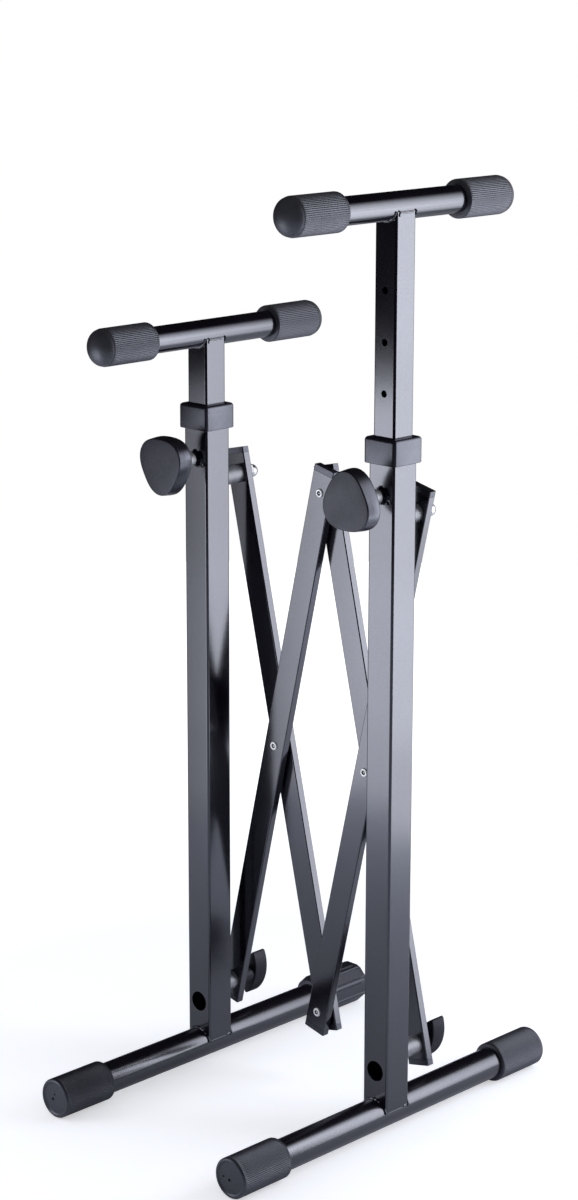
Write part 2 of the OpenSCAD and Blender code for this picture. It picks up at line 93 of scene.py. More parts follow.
# Floor, which fades to white away from the object
FLOOR_R = 2.2
FLOOR_DROP = 0.0003
FLOOR_COLOUR = (0.76, 0.79, 0.88)
FLOOR_LIFT = 0.50
FLOOR_LIFT_FAR = 0.95
FLOOR_NEAR = 0.45
FLOOR_FAR = 1.1

# Lamps: two upright panels. A column is (start, end, share of the radiance) across the panel, and the
# rows are radiances from the floor up
LAMP_COLOUR = (0.95, 0.955, 1.0)
KEY_PLACE = (0.64, 0.66)
KEY_COLUMNS = ((-0.36, -0.22, 0.3), (-0.22, -0.11, 0.55), (-0.11, 0.0, 0.76),
               (0.0, 0.12, 0.95), (0.12, 0.27, 1.06))
KEY_ROWS = (3.3, 4.3, 4.6, 4.8, 5.0, 5.4, 5.3, 4.6, 3.9, 3.2, 2.5, 1.6, 0.7)
KEY_STEP = 0.12
FILL_PLACE = (-0.60, -0.66)
FILL_COLUMNS = ((-0.30, 0.02, 1.0), (0.02, 0.085, 0.75), (0.085, 0.165, 0.33))
FILL_ROWS = (2.7, 3.2, 3.35, 3.5, 4.0)
FILL_STEP = 0.1082

# World: what reflections see of the backdrop and the room, and the soft light on everything
BACKDROP_WAY = (0.10, 0.995, 0)
BACKDROP_START = 0.78
BACKDROP_FULL = 0.95
BACKDROP_LIGHT = 0.45
ROOM_LIGHT = 0.004
SOFT_LIGHT = 0.45


# Mesh helpers

def mesh_piece(name, parts, body, material, replaced=(), smooth_angle=38):
    """One piece from parts, each of which is (vertices, faces). It rides on its body."""
    vertices, faces = [], []
    for part_vertices, part_faces in parts:
        start = len(vertices)
        vertices += part_vertices
        faces += [tuple(start + i for i in face) for face in part_faces]
    mesh = bpy.data.meshes.new(name)
    mesh.from_pydata([tuple(v) for v in vertices], [], faces)
    work = bmesh.new()
    work.from_mesh(mesh)
    bmesh.ops.recalc_face_normals(work, faces=work.faces)
    work.to_mesh(mesh)
    work.free()
    mesh.shade_smooth()
    mesh.set_sharp_from_angle(angle=math.radians(smooth_angle))
    mesh.materials.append(material)
    piece = bpy.data.objects.new(name, mesh)
    bpy.context.scene.collection.objects.link(piece)
    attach(piece, body)
    if replaced:
        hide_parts(*replaced)
    return piece


def loft(rings):
    """Closed skin through rings of equally many points. A ring of one point ends the skin in a fan."""
    vertices, faces, starts = [], [], []
    for ring in rings:
        starts.append(len(vertices))
        vertices += [Vector(p) for p in ring]
    for low, high, a, b in zip(rings, rings[1:], starts, starts[1:]):
        count = max(len(low), len(high))
        for i in range(count):
            j = (i + 1) % count
            if len(low) == 1:
                faces.append((a, b + j, b + i))
            elif len(high) == 1:
                faces.append((a + i, a + j, b))
            else:
                faces.append((a + i, a + j, b + j, b + i))
    if len(rings[0]) > 1:
        faces.append(tuple(range(starts[0], starts[0] + len(rings[0])))[::-1])
    if len(rings[-1]) > 1:
        faces.append(tuple(range(starts[-1], starts[-1] + len(rings[-1]))))
    return vertices, faces


def arc(centre, radius, start, end, steps):
    """Points of an arc, as pairs, with angles in degrees."""
    angles = [math.radians(start + (end - start) * i / steps) for i in range(steps + 1)]
    return [(centre[0] + radius * math.cos(a), centre[1] + radius * math.sin(a)) for a in angles]


def turned(origin, toward, profile, steps, radius=None):
    """Solid of revolution along Y. The profile's pairs are (distance from the origin, radius).

    A function radius(r, angle, distance), where given, shapes the rings."""
    rings = []
    for distance, r in profile:
        y = origin[1] + toward * distance
        if r < 1e-7:
            rings.append([(origin[0], y, origin[2])])
            continue
        ring = []
        for i in range(steps):
            a = 2 * math.pi * i / steps
            here = r if radius is None else radius(r, a, distance)
            ring.append((origin[0] + here * math.cos(a), y, origin[2] + here * math.sin(a)))
        rings.append(ring)
    return loft(rings)


def rounded_outline(corners, radius, steps):
    """A convex outline of pairs, given counter-clockwise, with its corners rounded."""
    points = []
    count = len(corners)
    for i, corner in enumerate(corners):
        before, after = Vector(corners[i - 1]), Vector(corners[(i + 1) % count])
        here = Vector(corner)
        u, v = (before - here).normalized(), (after - here).normalized()
        half = u.angle(v) / 2
        centre = here + (u + v).normalized() * radius / math.sin(half)
        first = here + u * radius / math.tan(half) - centre
        last = here + v * radius / math.tan(half) - centre
        sweep = first.angle_signed(last)
        for k in range(steps + 1):
            points.append(centre + Matrix.Rotation(-sweep * k / steps, 2) @ first)
    return points


def rectangle(w, d):
    """Corners of a rectangle round the origin."""
    return [(w / 2, -d / 2), (w / 2, d / 2), (-w / 2, d / 2), (-w / 2, -d / 2)]


def polygon(flats, sides):
    """Corners of a regular polygon, given the distance between its flats."""
    r = flats / 2 / math.cos(math.pi / sides)
    angles = [2 * math.pi * (i + 0.5) / sides for i in range(sides)]
    return [(r * math.cos(a), r * math.sin(a)) for a in angles]


def middle(node):
    """Centre of a node's box."""
    low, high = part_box(node)
    return (low + high) / 2


def half_height(node):
    """Half the height of a node's box, which is a round part's radius."""
    low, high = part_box(node)
    return (high.z - low.z) / 2


# Materials

class Nodes:
    """Small helper that adds and links shader nodes."""

    def __init__(self, name):
        self.material = bpy.data.materials.new(name)
        self.material.use_nodes = True
        self.tree = self.material.node_tree
        self.shader = self.tree.nodes["Principled BSDF"]
        self.place = self.add("ShaderNodeTexCoord").outputs["Object"]

    def add(self, kind, **values):
        """A new node. Each value sets the input of that name, or else the property."""
        node = self.tree.nodes.new(kind)
        for key, value in values.items():
            if key in node.inputs:
                node.inputs[key].default_value = value
            else:
                setattr(node, key, value)
        return node

    def link(self, start, end):
        self.tree.links.new(start, end)

    def noise(self, scale, detail, stretch=None):
        """Noise in the piece's own space, from 0 to 1."""
        texture = self.add("ShaderNodeTexNoise", Scale=scale, Detail=detail)
        source = self.place
        if stretch:
            mapping = self.add("ShaderNodeMapping")
            mapping.inputs["Scale"].default_value = stretch
            self.link(source, mapping.inputs["Vector"])
            source = mapping.outputs["Vector"]
        self.link(source, texture.inputs["Vector"])
        return texture.outputs["Fac"]

    def spread(self, value, low, high):
        """The middle of a noise's range, spread over low to high."""
        node = self.add("ShaderNodeMapRange")
        node.inputs["From Min"].default_value = NOISE_LOW
        node.inputs["From Max"].default_value = NOISE_HIGH
        node.inputs["To Min"].default_value = low
        node.inputs["To Max"].default_value = high
        self.link(value, node.inputs["Value"])
        return node.outputs["Result"]

    def colours(self, noise, first, second):
        """Base colour between two colours, by a noise."""
        node = self.add("ShaderNodeMix", data_type="RGBA")
        node.inputs["A"].default_value = (*first, 1)
        node.inputs["B"].default_value = (*second, 1)
        self.link(self.spread(noise, 0, 1), node.inputs["Factor"])
        self.link(node.outputs["Result"], self.shader.inputs["Base Color"])

    def bump(self, value, strength, distance, under=None):
        """Relief of a height in metres, over another relief where one is given."""
        node = self.add("ShaderNodeBump", Strength=strength, Distance=distance)
        self.link(value, node.inputs["Height"])
        if under is not None:
            self.link(under, node.inputs["Normal"])
        return node.outputs["Normal"]

    def fleck(self, size, share):
        """Uneven gloss, like the fine grain of a moulded or powder-coated face."""
        grain = self.noise(size, 2)
        self.link(self.spread(grain, 0.5 - share, 0.5 + share), self.shader.inputs["Specular IOR Level"])

    def finish(self, normal, roughness, **values):
        """Links the relief and the roughness, sets the shader's other values and gives the material."""
        self.link(normal, self.shader.inputs["Normal"])
        self.link(roughness, self.shader.inputs["Roughness"])
        for key, value in values.items():
            self.shader.inputs[key].default_value = value
        return self.material


def powder_coat(name, smooth, rough):
    """Satin black coat: a soft orange peel, a fine grit, and slightly uneven gloss."""
    n = Nodes(name)
    peel = n.noise(330, 1)
    grit = n.noise(1500, 2)
    cloud = n.noise(14, 3)
    n.colours(cloud, (0.0035, 0.0025, 0.0055), (0.0060, 0.0048, 0.0085))
    n.fleck(900, 0.035)
    normal = n.bump(grit, 0.3, 0.00003, n.bump(peel, 0.15, 0.00004))
    return n.finish(normal, n.spread(cloud, smooth, rough), **{"IOR": 2.0, "Specular Tint": COAT_TINT})


def rubber(name, dark, light, gloss):
    """Matt black rubber with a dusty bloom and a dull fine grain."""
    n = Nodes(name)
    grain = n.noise(2200, 2)
    bloom = n.noise(60, 5)
    n.colours(bloom, dark, light)
    n.fleck(700, 0.06)
    normal = n.bump(grain, 0.3, 0.00006)
    return n.finish(normal, n.spread(bloom, 0.38, 0.48), **{"IOR": gloss, "Specular Tint": RUBBER_TINT})


def plastic(name, gloss, smooth, rough):
    """Moulded black plastic with a fine erosion grain."""
    n = Nodes(name)
    grain = n.noise(1900, 2)
    cloud = n.noise(45, 3)
    n.colours(cloud, (0.0055, 0.005, 0.0085), (0.0085, 0.008, 0.012))
    n.fleck(800, 0.06)
    normal = n.bump(grain, 0.3, 0.00006)
    return n.finish(normal, n.spread(cloud, smooth, rough), **{"IOR": gloss, "Specular Tint": PLASTIC_TINT})


def zinc():
    """Bright zinc plate with turning marks and a dull haze."""
    n = Nodes("zinc")
    marks = n.noise(900, 4, stretch=(0.3, 6.0, 0.3))
    haze = n.noise(240, 3)
    n.colours(haze, (0.58, 0.59, 0.62), (0.76, 0.77, 0.79))
    normal = n.bump(marks, 0.12, 0.00005)
    return n.finish(normal, n.spread(haze, 0.22, 0.36), Metallic=1.0)


def satin_zinc(name, dark, light, metallic):
    """Dull plate of the spacers, stubs, ferrules and rivets, with soft blotches and fine scratches."""
    n = Nodes(name)
    blotch = n.noise(180, 4)
    scratch = n.noise(1200, 3)
    n.colours(blotch, dark, light)
    normal = n.bump(scratch, 0.3, 0.00006)
    return n.finish(normal, n.spread(blotch, 0.36, 0.50), Metallic=metallic)


# Pieces of the stand

def soften(node, width):
    """Small round on the sharp edges of a CAD part, as a modifier."""
    bevel = node.modifiers.new("soft_edges", "BEVEL")
    bevel.width = width
    bevel.segments = 2
    bevel.limit_method = "ANGLE"
    bevel.angle_limit = math.radians(60)
    bevel.use_clamp_overlap = False
    bevel.harden_normals = True


def rib_strength(distance, fade_in, fade_out, length):
    """How far the ribs stand out at a distance from a cap's closed end, from 0 to 1."""
    start = min(1, max(0, (distance - fade_in) / RIB_FADE))
    end = min(1, max(0, (length - fade_out - distance) / RIB_FADE))
    return start * end


def rib_groove(ribs, angle):
    """Share of a groove's depth at an angle round a cap with so many ribs, from 0 to 1."""
    return (0.5 - 0.5 * math.cos(ribs * angle)) ** RIB_SHAPE


def dimple(x, z, spot):
    """Depth of a round dimple (place x, place z, radius, depth) at a point on a cap's face."""
    place_x, place_z, radius, depth = spot
    away = math.hypot(x - place_x, z - place_z) / radius
    return depth * max(0, 1 - away ** 4)


def foot_cap(node, body, material, spots=()):
    """Ribbed rubber cap with a dished flat end, on the end of a foot tube."""
    low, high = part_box(node)
    toward = 1 if "front" in node else -1
    closed_y = low.y if toward > 0 else high.y
    origin = Vector(((low.x + high.x) / 2, closed_y, (low.z + high.z) / 2))
    radius, length = (high.z - low.z) / 2, high.y - low.y
    edge, rim, dish, lip = 2.4 * MM, 1.9 * MM, 1.2 * MM, 1.6 * MM
    tube_r, bore_end = 15.05 * MM, 6 * MM
    ribs, depth, wall_rings, face_rings = 66, 0.50 * MM, 26, 60
    tooth, tooth_place, tooth_run = 0.65 * MM, 1.2 * MM, 1.4 * MM
    face_r = radius - edge - rim
    face = [(dish, face_r * i / face_rings) for i in range(face_rings + 1)]
    wall = [(edge + (length - lip - edge) * i / wall_rings, radius) for i in range(1, wall_rings + 1)]
    profile = face + [(y * MM, face_r + r * MM) for y, r in ((0.25, 0.95), (0.05, 1.3), (0, 1.6))]
    profile += [(edge + y, radius - edge + x) for x, y in arc((0, 0), edge, -90, 0, 5)]
    profile += wall
    profile += [(length - lip + y, radius - lip + x) for x, y in arc((0, 0), lip, 0, 80, 6)]
    profile += [(length, tube_r), (bore_end, tube_r), (bore_end, 0)]

    def outline(r, a, distance):
        if r <= radius - lip:
            return r
        keep = rib_strength(distance, edge - 0.2 * MM, lip - 1.0 * MM, length)
        start = max(0, 1 - abs(distance - edge - tooth_place) / tooth_run)
        return r - (depth * keep + tooth * start) * rib_groove(ribs, a)

    vertices, faces = turned(origin, toward, profile, ribs * RIB_POINTS, outline)
    for v in vertices:
        x, z = v.x - origin.x, v.z - origin.z
        if math.hypot(x, z) < face_r and abs(v.y - closed_y) < 2 * dish:
            v.y += toward * sum(dimple(x, z, spot) for spot in spots)
    return mesh_piece(node + "_ribbed", [(vertices, faces)], body, material, [node], 65)


def bar_cap(node, body, material):
    """Ribbed rubber cap with a smooth domed end, on the end of a top bar."""
    low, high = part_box(node)
    toward = 1 if "front" in node else -1
    tip_y = low.y if toward > 0 else high.y
    origin = Vector(((low.x + high.x) / 2, tip_y, (low.z + high.z) / 2))
    radius, length = (high.z - low.z) / 2, high.y - low.y
    dome, step, lip = 11 * MM, 0.5 * MM, 1.6 * MM
    tube_r, bore_end = 12.55 * MM, 12 * MM
    ribs, depth, wall_rings = 62, 0.45 * MM, 24
    dome_r, wall_start = radius - step, dome + 0.8 * MM
    profile = [(dome * (1 - math.cos(math.radians(a))), dome_r * math.sin(math.radians(a)))
               for a in range(0, 91, 6)]
    profile += [(dome + 0.3 * MM, radius - 0.2 * MM)]
    wall_end = length - lip
    profile += [(wall_start + (wall_end - wall_start) * i / wall_rings, radius)
                for i in range(wall_rings + 1)]
    profile += [(length - lip + y, radius - lip + x) for x, y in arc((0, 0), lip, 0, 80, 6)]
    profile += [(length, tube_r), (bore_end, tube_r), (bore_end, 0)]

    def outline(r, a, distance):
        if distance <= dome or r <= radius - lip:
            return r
        keep = rib_strength(distance, dome - 0.4 * MM, lip - 1.0 * MM, length)
        return r - depth * keep * rib_groove(ribs, a)

    part = turned(origin, toward, profile, ribs * RIB_POINTS, outline)
    return mesh_piece(node + "_ribbed", [part], body, material, [node], 65)


def level_cap(node, body, material):
    """Eight-sided levelling cap: soft edges, each between two grooves, and bevelled ends."""
    low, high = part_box(node)
    flats = high.z - low.z
    centre = Vector(((low.x + high.x) / 2, 0, (low.z + high.z) / 2))
    bevel, soft, groove_depth = 4 * MM, 1.6 * MM, 0.45 * MM
    length = high.y - low.y
    places = [(1.7, 0), (2.3, groove_depth), (2.6, groove_depth), (3.2, groove_depth), (3.5, 0), (4.1, 0)]

    def ring(y, inset, grooves):
        points = []
        corners = [Vector(corner) for corner in polygon(flats - 2 * inset, 8)]
        for here, after, beyond in zip(corners, corners[1:] + corners[:1], corners[2:] + corners[:2]):
            side = (after - here).length
            along = (after - here).normalized()
            inward = Vector((-along.y, along.x)) * int(grooves)
            points += [here + along * place * MM + inward * deep for place, deep in places]
            points += [here + along * side * share for share in (0.3, 0.4, 0.5, 0.6, 0.7)]
            points += [here + along * (side - place * MM) + inward * deep
                       for place, deep in reversed(places)]
            outer = after - after.normalized() * soft * 0.35
            points.append(outer - along * soft * 0.5)
            points.append(outer + (beyond - after).normalized() * soft * 0.5)
        return [(centre.x + p.x, y, centre.z + p.y) for p in points]

    stations = [(0, bevel * 0.9, False), (0.6 * MM, bevel * 0.62, False),
                (bevel * 0.9, 0.35 * MM, False), (bevel * 1.2, 0.05 * MM, False), (bevel * 1.5, 0, True)]
    rings = [ring(low.y + s, inset, g) for s, inset, g in stations]
    rings += [ring(low.y + length * i / 12, 0, True) for i in range(2, 11)]
    rings += [ring(high.y - s, inset, g) for s, inset, g in reversed(stations)]
    return mesh_piece(node + "_moulded", [loft(rings)], body, material, [node])


def collar(node, body, material):
    """Plastic collar with rounded upright edges and a rolled top."""
    low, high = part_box(node)
    centre = (low + high) / 2
    width, height = high.x - low.x, high.z - low.z
    edge, roll, foot = 3.0 * MM, 3.0 * MM, 0.5 * MM
    opening, recess, lip = 25.6 * MM, 30.1 * MM, 5.5 * MM
    opening_edge, recess_edge = 1.3 * MM, 1.6 * MM

    def ring(w, r, z):
        outline = rounded_outline(rectangle(w, w), r, 6)
        return [(centre.x + p.x, centre.y + p.y, low.z + z) for p in outline]

    rings = [ring(recess, recess_edge, height - lip), ring(recess, recess_edge, 0),
             ring(width - 2 * foot, edge, 0), ring(width, edge, foot)]
    for x, z in arc((0, height - roll), roll, 0, 90, 8):
        rings.append(ring(width - 2 * (roll - x), max(edge - (roll - x) * 0.5, 1.4 * MM), z))
    rings += [ring(opening + 0.8 * MM, 1.5 * MM, height), ring(opening, opening_edge, height - 0.5 * MM),
              ring(opening, opening_edge, height - lip), ring(recess, recess_edge, height - lip)]
    vertices, faces = loft(rings)
    return mesh_piece(node + "_moulded", [(vertices, faces[:-2])], body, material, [node])


def clamp_knob(node, body, turn, plastic_black, plastic_face, plated):
    """Three-lobed knob: a bare domed face with a crisp edge, a straight rim, and a back that
    tapers to a plated ferrule round the screw."""
    low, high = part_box(node)
    front_y, length = low.y, high.y - low.y
    mean_r, lobe, dome_h, steps = 27.6 * MM, 2.2 * MM, 0.55, 120
    axis = knob_axis(node)
    bore_r, bore_start, ferrule_r, ferrule_start = 4.1 * MM, 8.5 * MM, 6.6 * MM, 28.5 * MM
    dome = [(dome_h * s ** 4, s) for s in (0.15, 0.3, 0.45, 0.6, 0.7, 0.78, 0.84, 0.885, 0.92, 0.936)]
    face_edge = [(0.50, 0.945), (0.62, 0.952), (0.80, 0.958), (1.05, 0.9625), (1.4, 0.965), (2, 0.967)]
    rim = [(7, 0.985), (11, 0.996), (13.6, 0.996), (14.6, 0.991), (15.4, 0.978),
           (16.1, 0.955), (16.8, 0.915)]
    back = [(17.5, 0.86), (18.7, 0.76), (20.2, 0.65), (22, 0.545), (24.5, 0.44), (27, 0.37),
            (28.9, 0.325), (29.3, 0.305)]
    sections = dome + face_edge + rim + back

    def ring(distance, mean, wave):
        """Ring of the knob: a circle of the mean radius, with three waves for the lobes."""
        points = []
        for i in range(steps):
            a = 2 * math.pi * i / steps
            r = mean + wave * math.cos(3 * (a - turn))
            points.append((axis.x + r * math.cos(a), front_y + distance, axis.z + r * math.sin(a)))
        return points

    rings = [[(axis.x, front_y, axis.z)]]
    rings += [ring(distance * MM, mean_r * scale, lobe * scale) for distance, scale in sections]
    rings += [ring(distance, bore_r, 0) for distance in (sections[-1][0] * MM, bore_start)]
    rings.append([(axis.x, front_y + bore_start, axis.z)])
    moulded = mesh_piece(node + "_moulded", [loft(rings)], body, plastic_black, [node])
    moulded.data.materials.append(plastic_face)
    for face in moulded.data.polygons:
        face.material_index = int(face.center.y < front_y + dome_h * MM)
    end = length - ferrule_start
    profile = [(0, bore_r), (0, ferrule_r), (1.6 * MM, ferrule_r), (1.9 * MM, ferrule_r - 0.35 * MM),
               (2.4 * MM, ferrule_r - 0.35 * MM), (2.7 * MM, ferrule_r), (end - 0.5 * MM, ferrule_r),
               (end, ferrule_r - 0.5 * MM), (end, bore_r)]
    sides = 36
    vertices, faces = turned(Vector((axis.x, front_y + ferrule_start, axis.z)), 1, profile, sides)
    tube = (vertices, faces[:-2] + bridge(len(profile), sides))
    mesh_piece(node + "_ferrule", [tube], body, plated)


def bridge(rings, steps):
    """Faces from the last ring of a skin back to its first one."""
    start = (rings - 1) * steps
    return [(start + i, start + (i + 1) % steps, (i + 1) % steps, i) for i in range(steps)]


def knob_axis(node):
    """The screw's axis, which a three-lobed knob's box doesn't have at its middle."""
    return middle(node.replace("knob", "screw"))


def clamp_screw(node, body, material):
    """Clamp screw with a real thread on its whole length."""
    low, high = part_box(node)
    origin = Vector(((low.x + high.x) / 2, low.y, (low.z + high.z) / 2))
    radius, length = (high.z - low.z) / 2, high.y - low.y
    pitch, depth, per_turn = 1.25 * MM, 0.6 * MM, 6
    narrowing, tip = 1 * MM, 1.2 * MM
    count = int(length / pitch * per_turn)

    def outline(r, a, distance):
        if r < radius - narrowing / 2:
            return r
        phase = (distance / pitch - a / (2 * math.pi)) % 1
        return r - depth * abs(2 * phase - 1)

    profile = [(0, 0), (0, radius - narrowing)]
    profile += [(0.01 * MM + (length - tip) * i / count, radius) for i in range(count + 1)]
    profile += [(length, radius - narrowing), (length, 0)]
    part = turned(origin, 1, profile, 24, outline)
    return mesh_piece(node + "_threaded", [part], body, material, [node])


def rivets(node, places, body, material, dark):
    """Two rivets with ring-shaped heads: a raised rim round a dimple, whose walls take the dark material as
    painted shade.
    """
    low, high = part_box(node)
    pin_r, dimple_r, shank_r, head = 0.9 * MM, 2.1 * MM, 3 * MM, 1.2 * MM
    length = high.y - low.y
    pin = [(0.3, 0), (0.4, 0.6), (0.7, 0.9), (1.05, 1.1), (1.1, 1.6), (0.9, 1.9), (0.15, 2.1)]
    rim = [(0, 2.35), (0, 3.3), (0.12, 3.8), (0.5, 4.15), (0.9, 4.3), (1.2, 4.3)]
    near = [(d * MM, r * MM) for d, r in pin + rim] + [(head, shank_r)]
    profile = near + [(length - d, r) for d, r in reversed(near)]
    parts = [turned(Vector((x, low.y, z)), 1, profile, 40) for x, z in places]
    piece = mesh_piece(node + "_headed", parts, body, material, [node])
    # The dimple's walls get the dark material: painted shade in the hollow
    piece.data.materials.append(dark)
    for face in piece.data.polygons:
        away = min(math.hypot(face.center.x - x, face.center.z - z) for x, z in places)
        face.material_index = int(pin_r < away < dimple_r)
    return piece


def thumb_grip(node, body, tilt, material):
    """Leaf-shaped grip with softened edges, on a hub that reaches the arm."""
    low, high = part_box(node)
    axis = middle(node.replace("thumb_grip", "slide_bolt"))
    hub_d, chamfer, sunk, thick = 15.5 * MM, 0.6 * MM, 1 * MM, 16 * MM
    hub_h = high.y - low.y - thick
    length, width, end_w, soft = 46 * MM, 18 * MM, 2 * MM, 0.8 * MM
    bulge = (width - end_w) / 2
    side_r = ((length / 2) ** 2 + bulge ** 2) / (2 * bulge)
    spin = Matrix.Rotation(-tilt, 2)

    def plate(y, inset):
        """Leaf-shaped ring from two arcs."""
        side, points = 14, []
        sweep = math.asin((length / 2 - inset) / side_r)
        for sign in (1, -1):
            for i in range(side + 1):
                a = sweep * (2 * i / side - 1)
                point = Vector((side_r * math.cos(a) - side_r + width / 2 - inset, side_r * math.sin(a)))
                points.append(spin @ (point * sign))
        return [(axis.x + p.x, y, axis.z + p.y) for p in points]

    def hub(y, inset):
        """Round ring of the hub."""
        outline = polygon(hub_d - 2 * inset, 48)
        return [(axis.x + x, y, axis.z + z) for x, z in outline]

    start = low.y + hub_h
    hub_rings = [hub(low.y, chamfer), hub(low.y + chamfer, 0), hub(start + sunk, 0)]
    turns = [math.radians(d) for d in range(0, 91, 18)]
    rings = [plate(start + soft * (1 - math.cos(a)), soft * (1 - math.sin(a))) for a in turns]
    rings += [plate(start + thick - soft * (1 - math.sin(a)), soft * (1 - math.cos(a))) for a in turns]
    parts = [loft(hub_rings), loft(rings)]
    return mesh_piece(node + "_moulded", parts, body, material, [node])


def bead(points, radius, ripple=RIPPLE, sides=10):
    """Weld bead swept along a path, with rounded ends and soft ripples."""
    step, wave, drift = 0.45 * MM, 0.9 * MM, 2.3 * MM
    points = [Vector(p) for p in points]
    path = [points[0]]
    for start, end in zip(points, points[1:]):
        count = max(1, round((end - start).length / step))
        path += [start.lerp(end, i / count) for i in range(1, count + 1)]
    rings, travelled = [], 0
    total = sum((b - a).length for a, b in zip(path, path[1:]))
    for i, here in enumerate(path):
        before, after = path[max(i - 1, 0)], path[min(i + 1, len(path) - 1)]
        travelled += (here - before).length
        along = (after - before).normalized()
        across = along.orthogonal().normalized()
        if rings:
            across = (last_across - along * last_across.dot(along)).normalized()
        last_across = across
        up = along.cross(across)
        closeness = min(1, min(travelled, total - travelled) / radius)
        here_r = radius * math.sqrt(max(0.04, 1 - (1 - closeness) ** 2))
        here_r *= 1 + ripple * math.sin(travelled / wave + 1.3 * math.sin(travelled / drift))
        rings.append([here + (across * math.cos(a) + up * math.sin(a)) * here_r
                      for a in (2 * math.pi * k / sides for k in range(sides))])
    return loft(rings)


def foot_welds(side, body, material):
    """Beads where a post stands on its foot tube."""
    tube, r = middle("foot_tube_" + side), half_height("foot_tube_" + side)
    low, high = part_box("post_" + side)
    ring_r, blob_r, seam_r, rise_r, end_r = 1.25 * MM, 2.2 * MM, 0.7 * MM, 1.15 * MM, 1.1 * MM
    parts = []
    # Over the tube, with a blob on top, in front of the post and behind it
    for y, out in ((low.y, -0.35 * MM), (high.y, 0.35 * MM)):
        curve = arc((tube.x, tube.z), r + 0.25 * MM, 14, 166, 40)
        parts.append(bead([(x, y + out, z) for x, z in curve], ring_r))
        blob = [(tube.x + 1 * MM, y, tube.z + r), (tube.x - 2 * MM, y, tube.z + r)]
        parts.append(bead(blob, blob_r))
    # Along the tube on both sides, where the bead rises and turns down at its rear end
    for x, way in ((low.x, 1), (high.x, -1)):
        edge, level = x + way * 0.55 * MM, tube.z + 4.6 * MM
        seam = [(edge, low.y + 2 * MM, level), (edge, high.y - 7 * MM, level)]
        rise = [(edge, high.y - 7.5 * MM, level + 0.4 * MM), (edge, high.y - 1.5 * MM, level + 1.3 * MM)]
        end = [(edge, high.y - 0.2 * MM, level + 1.0 * MM), (edge, high.y - 0.2 * MM, level - 2.0 * MM)]
        for path, radius in ((seam, seam_r), (rise, rise_r), (end, end_r)):
            parts.append(bead(path, radius, SMOOTH_RIPPLE))
    return mesh_piece("foot_welds_" + side, parts, body, material)


def bar_welds(side, material):
    """Beads round the top of an inner tube, under its bar."""
    bar = middle("top_bar_" + side)
    low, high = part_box("inner_tube_" + side)
    r = (high.x - low.x) / 2
    bead_r, hook_r = 1.1 * MM, 0.62 * MM
    hook = [(0.9, -3.6), (0.1, -2.6), (0.0, -1.4), (0.5, -0.5), (0.9, 0.3), (0.6, 1.2), (-0.3, 1.5)]
    parts = []
    # Round the bar's underside, in front of the tube and behind it
    for y, out in ((low.y, -0.3 * MM), (high.y, 0.3 * MM)):
        curve = arc((bar.x, bar.z), r + 0.1 * MM, -14, -166, 36)
        parts.append(bead([(x, y + out, z) for x, z in curve], bead_r))
    # Along the bar on both sides, with a hooked end at the front and at the back
    for x, way in ((low.x, 1), (high.x, -1)):
        edge, level = x + way * 0.75 * MM, bar.z - 4.6 * MM
        seam = [(edge, low.y + 4 * MM, level - 0.6 * MM), (edge, high.y - 3 * MM, level - 0.6 * MM)]
        parts.append(bead(seam, bead_r, SMOOTH_RIPPLE))
        for y in (low.y + 3.4 * MM, high.y - 0.8 * MM):
            path = [(x - way * 0.15 * MM, y + a * MM, level + b * MM) for a, b in hook]
            parts.append(bead(path, hook_r, SMOOTH_RIPPLE, 8))
    return mesh_piece("bar_welds_" + side, parts, side + "_rest", material)


def nut_welds(side, body, material):
    """Tacks round the weld nut, and the curl where the bead was broken off."""
    nut = middle("weld_nut_" + side)
    low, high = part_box("weld_nut_" + side)
    face_y, reach = high.y, (high.x - low.x) / 2 + 0.2 * MM
    tack_r, tack_ripple, curl_r = 0.9 * MM, 0.12, 0.55 * MM
    parts = []
    for start, end in ((0, 30), (80, 110), (200, 230)):
        curve = arc((nut.x, nut.z), reach, start, end, 8)
        parts.append(bead([(x, face_y - 0.3 * MM, z) for x, z in curve], tack_r, tack_ripple))
    stem = [(nut.x + 3.2 * MM, nut.z - 7.6 * MM)]
    curl = arc((nut.x + 9.5 * MM, nut.z - 4.7 * MM), 2.2 * MM, 190, 520, 22)
    parts.append(bead([(x, face_y - 0.5 * MM, z) for x, z in stem + curl], curl_r, SMOOTH_RIPPLE, 8))
    return mesh_piece("nut_welds_" + side, parts, body, material)


def stub_welds(side, body, material):
    """Bead round the foot of the stub that carries the arms' upper end."""
    node = "arm_stub_" + side
    stub, face_y = middle(node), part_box(node)[0].y
    curve = arc((stub.x, stub.z), half_height(node) + 0.3 * MM, 0, 360, 60)
    part = bead([(x, face_y + 0.4 * MM, z) for x, z in curve], 1.2 * MM)
    return mesh_piece("stub_welds_" + side, [part], body, material)


def plug_gap_shade(node, body, bottom, top, material):
    """Painted shade of the gaps round a flat arm: a dark line where each end plug starts. Its outer pivots
    are given.
    """
    along = (top - bottom).normalized()
    across = Vector((along.z, 0, -along.x))
    middle_y, sink, edge, line_r = middle(node).y, 0.45 * MM, 0.8 * MM, 0.5 * MM
    section = rounded_outline(rectangle(ARM_W - 2 * sink, ARM_T - 2 * sink), edge, 3)
    parts = []
    for place in (bottom - along * LOW_JOINT, top + along * HIGH_JOINT):
        loop = [place + across * a + Vector((0, middle_y + b, 0)) for a, b in section]
        parts.append(bead(loop + loop[:2], line_r, 0, 8))
    return mesh_piece(node.replace("arm", "plug_gap_shade"), parts, body, material)


# Floor, lamps, world and camera

